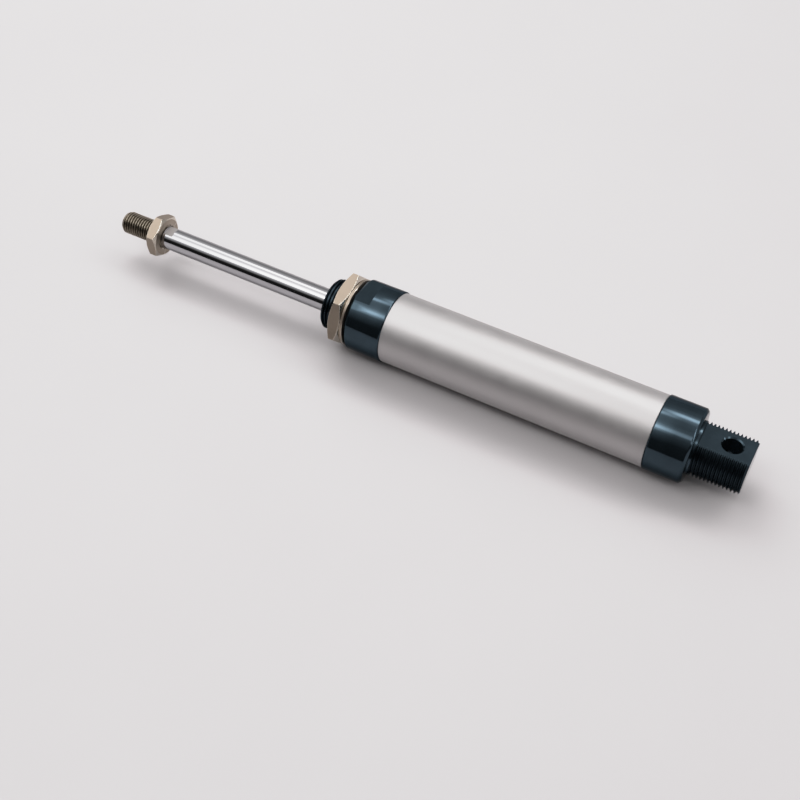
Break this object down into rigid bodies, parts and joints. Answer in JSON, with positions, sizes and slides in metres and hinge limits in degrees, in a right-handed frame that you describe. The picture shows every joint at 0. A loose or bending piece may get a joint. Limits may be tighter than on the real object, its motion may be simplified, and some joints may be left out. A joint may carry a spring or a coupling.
{
  "type": "pneumatic cylinder",
  "caption": "Round-bodied double-acting air cylinder with a threaded nose, a flat-sided rear pivot tang and a threaded piston rod, drawn extended.",
  "frame": {"origin": "centre of the pivot hole in the rear tang", "axes": "+X along the cylinder's axis towards the rod end, +Z along the pivot hole's axis, square to the tang's flats; the air ports face -Y"},
  "size_m": [0.2882, 0.0324, 0.0324],
  "materials": {
    "clear_anodised": "satin clear anodised",
    "dark_anodised": "dark blue-black anodised, machined",
    "nickel_plate": "nickel plated",
    "hard_chrome": "ground and polished hard chrome",
    "plain_steel": "zinc plated",
    "spring_steel": "phosphated",
    "bronze": "sintered bronze",
    "bare_aluminium": "machined",
    "magnet": "bonded ferrite",
    "guide_plastic": "plain",
    "seal_rubber": "moulded nitrile",
    "bumper_urethane": "moulded urethane"
  },
  "bodies": {
    "cylinder_body": {"barrel_tube": "clear_anodised", "rear_cap": "dark_anodised", "front_cap": "dark_anodised", "rear_cap_o_ring": "seal_rubber", "front_cap_o_ring": "seal_rubber", "front_mounting_nut": "nickel_plate", "rod_bush": "bronze", "rod_seal": "seal_rubber", "rod_seal_washer": "plain_steel", "rod_wiper": "seal_rubber", "wiper_retaining_ring": "spring_steel"},
    "piston_packing": {"piston_seal_front": "seal_rubber", "piston_seal_rear": "seal_rubber", "piston_wear_ring": "guide_plastic"},
    "rod_assembly": {"piston_rod": "hard_chrome", "rod_nut": "nickel_plate", "piston_front_half": "bare_aluminium", "piston_rear_half": "bare_aluminium", "piston_magnet": "magnet", "piston_o_ring": "seal_rubber", "piston_nut": "plain_steel", "piston_nut_washer": "plain_steel", "piston_bumper_front": "bumper_urethane", "piston_bumper_rear": "bumper_urethane"}
  },
  "joints": [
    {"name": "rod_slide", "type": "slide", "parent": "cylinder_body", "child": "piston_packing", "axis": [1, 0, 0], "range_m": [-0.075, 0]},
    {"name": "rod_turn", "type": "hinge", "parent": "piston_packing", "child": "rod_assembly", "pos_m": [0.15, 0, 0], "axis": [1, 0, 0], "continuous": true}
  ]
}
